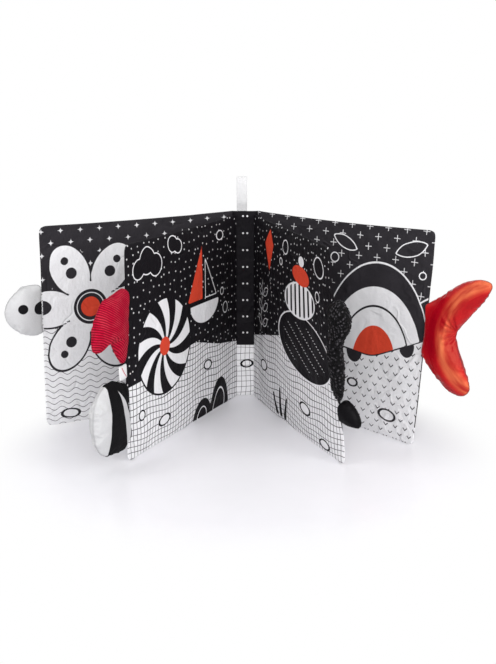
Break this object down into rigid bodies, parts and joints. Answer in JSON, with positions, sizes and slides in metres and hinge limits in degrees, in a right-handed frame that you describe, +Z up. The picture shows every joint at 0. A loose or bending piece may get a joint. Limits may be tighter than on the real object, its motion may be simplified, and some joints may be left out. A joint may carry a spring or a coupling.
{
  "type": "crinkle cloth book",
  "caption": "Padded cloth activity book for babies, standing open on its edges, with hinged cloth leaves, stuffed tails sewn in the page edges and a ribbon loop on the spine.",
  "frame": {"origin": "middle of the foot of the gutter panel, on the surface that the book stands on", "axes": "+X to the right along the open book's width, +Y from the open front to the spine's back, +Z up along the spine"},
  "size_m": [0.3843, 0.2047, 0.2069],
  "materials": {
    "black_print": "printed woven polyester, slight sheen",
    "outer_cloth": "plain woven polyester",
    "wadding": "polyester wadding",
    "crinkle_film": "thin crackling film",
    "stuffing": "polyester fibre",
    "white_plush": "short plush",
    "red_corduroy": "fine corduroy",
    "striped_cloth": "printed woven polyester, white with a black band",
    "black_knit": "knobbly knit",
    "black_satin": "smooth satin",
    "red_satin": "shiny satin",
    "white_tape": "thin woven tape"
  },
  "bodies": {
    "spine": {"gutter_panel": "black_print", "spine_outer_cloth": "outer_cloth", "spine_wadding": "wadding"},
    "ribbon_loop": {"ribbon_loop": "white_tape"},
    "left_cover": {"left_cover_fold": "outer_cloth", "left_cover_inner_cloth": "black_print", "left_cover_outer_cloth": "outer_cloth", "left_cover_wadding": "wadding", "left_cover_crinkle_film": "crinkle_film"},
    "left_strip": {"left_leaf_binding_strip": "black_print"},
    "left_leaf": {"left_leaf_inner_cloth": "black_print", "left_leaf_outer_cloth": "black_print", "left_leaf_wadding": "wadding", "left_leaf_crinkle_film": "crinkle_film"},
    "right_strip": {"right_leaf_binding_strip": "black_print"},
    "right_leaf": {"right_leaf_inner_cloth": "black_print", "right_leaf_outer_cloth": "black_print", "right_leaf_wadding": "wadding", "right_leaf_crinkle_film": "crinkle_film"},
    "right_cover": {"right_cover_fold": "outer_cloth", "right_cover_inner_cloth": "black_print", "right_cover_outer_cloth": "outer_cloth", "right_cover_wadding": "wadding", "right_cover_crinkle_film": "crinkle_film"},
    "white_lobe": {"white_lobe_inner_cloth": "white_plush", "white_lobe_outer_cloth": "white_plush", "white_lobe_stuffing": "stuffing"},
    "red_tail": {"red_tail_inner_cloth": "red_corduroy", "red_tail_outer_cloth": "red_corduroy", "red_tail_stuffing": "stuffing"},
    "striped_lobe": {"striped_lobe_inner_cloth": "striped_cloth", "striped_lobe_outer_cloth": "striped_cloth", "striped_lobe_stuffing": "stuffing"},
    "black_tail": {"black_tail_inner_cloth": "black_knit", "black_tail_outer_cloth": "black_satin", "black_tail_stuffing": "stuffing", "black_fluke_inner_cloth": "black_satin", "black_fluke_outer_cloth": "black_satin", "black_fluke_stuffing": "stuffing"},
    "crescent_tail": {"crescent_tail_inner_cloth": "red_satin", "crescent_tail_outer_cloth": "red_satin", "crescent_tail_stuffing": "stuffing"},
    "label": {"label": "white_tape"}
  },
  "joints": [
    {"name": "left_cover_hinge", "type": "hinge", "parent": "spine", "child": "left_cover", "pos_m": [-0.012, 0.003, 0.0875], "axis": [0, 0, 1], "range_deg": [-117, 55.5]},
    {"name": "left_strip_hinge", "type": "hinge", "parent": "spine", "child": "left_strip", "pos_m": [-0.0085, 0, 0.086], "axis": [0, 0, 1], "range_deg": [-59, 28]},
    {"name": "left_leaf_hinge", "type": "hinge", "parent": "left_strip", "child": "left_leaf", "pos_m": [-0.01395, -0.01069, 0.086], "axis": [0, 0, 1], "range_deg": [-30, 40]},
    {"name": "right_cover_hinge", "type": "hinge", "parent": "spine", "child": "right_cover", "pos_m": [0.012, 0.003, 0.0875], "axis": [0, 0, 1], "range_deg": [-40.5, 130.5]},
    {"name": "right_strip_hinge", "type": "hinge", "parent": "spine", "child": "right_strip", "pos_m": [0.0085, 0, 0.086], "axis": [0, 0, 1], "range_deg": [-20.5, 65.5]},
    {"name": "right_leaf_hinge", "type": "hinge", "parent": "right_strip", "child": "right_leaf", "pos_m": [0.01259, -0.01128, 0.086], "axis": [0, 0, 1], "range_deg": [-35, 20]},
    {"name": "white_lobe_seam", "type": "hinge", "parent": "left_cover", "child": "white_lobe", "pos_m": [-0.16895, -0.08513, 0.083], "axis": [0.0297, -0.0527, 0.9982], "range_deg": [-70, 70]},
    {"name": "red_tail_seam", "type": "hinge", "parent": "left_leaf", "child": "red_tail", "pos_m": [-0.09031, -0.16033, 0.0815], "axis": [0.0207, -0.0106, 0.9997], "range_deg": [-70, 70]},
    {"name": "striped_lobe_seam", "type": "hinge", "parent": "left_leaf", "child": "striped_lobe", "pos_m": [-0.09175, -0.1596, 0.012], "axis": [0.0207, -0.0106, 0.9997], "range_deg": [-70, 70]},
    {"name": "label_seam", "type": "hinge", "parent": "left_leaf", "child": "label", "pos_m": [-0.09044, -0.16027, 0.0696], "axis": [0, 0, 1], "range_deg": [-70, 70]},
    {"name": "black_tail_seam", "type": "hinge", "parent": "right_leaf", "child": "black_tail", "pos_m": [0.0725, -0.16826, 0.057], "axis": [-0.0936, -0.0339, 0.995], "range_deg": [-70, 70]},
    {"name": "crescent_tail_seam", "type": "hinge", "parent": "right_cover", "child": "crescent_tail", "pos_m": [0.14133, -0.12226, 0.05], "axis": [0.0726, 0.0784, 0.9943], "range_deg": [-70, 70]},
    {"name": "ribbon_loop_root", "type": "hinge", "parent": "spine", "child": "ribbon_loop", "pos_m": [-0.0029, 0.00202, 0.1757], "axis": [1, 0, 0], "range_deg": [-70, 70]}
  ],
  "couplings": [
    {"joint": "left_strip_hinge", "follows": "left_cover_hinge", "ratio": 0.5},
    {"joint": "right_strip_hinge", "follows": "right_cover_hinge", "ratio": 0.5}
  ]
}
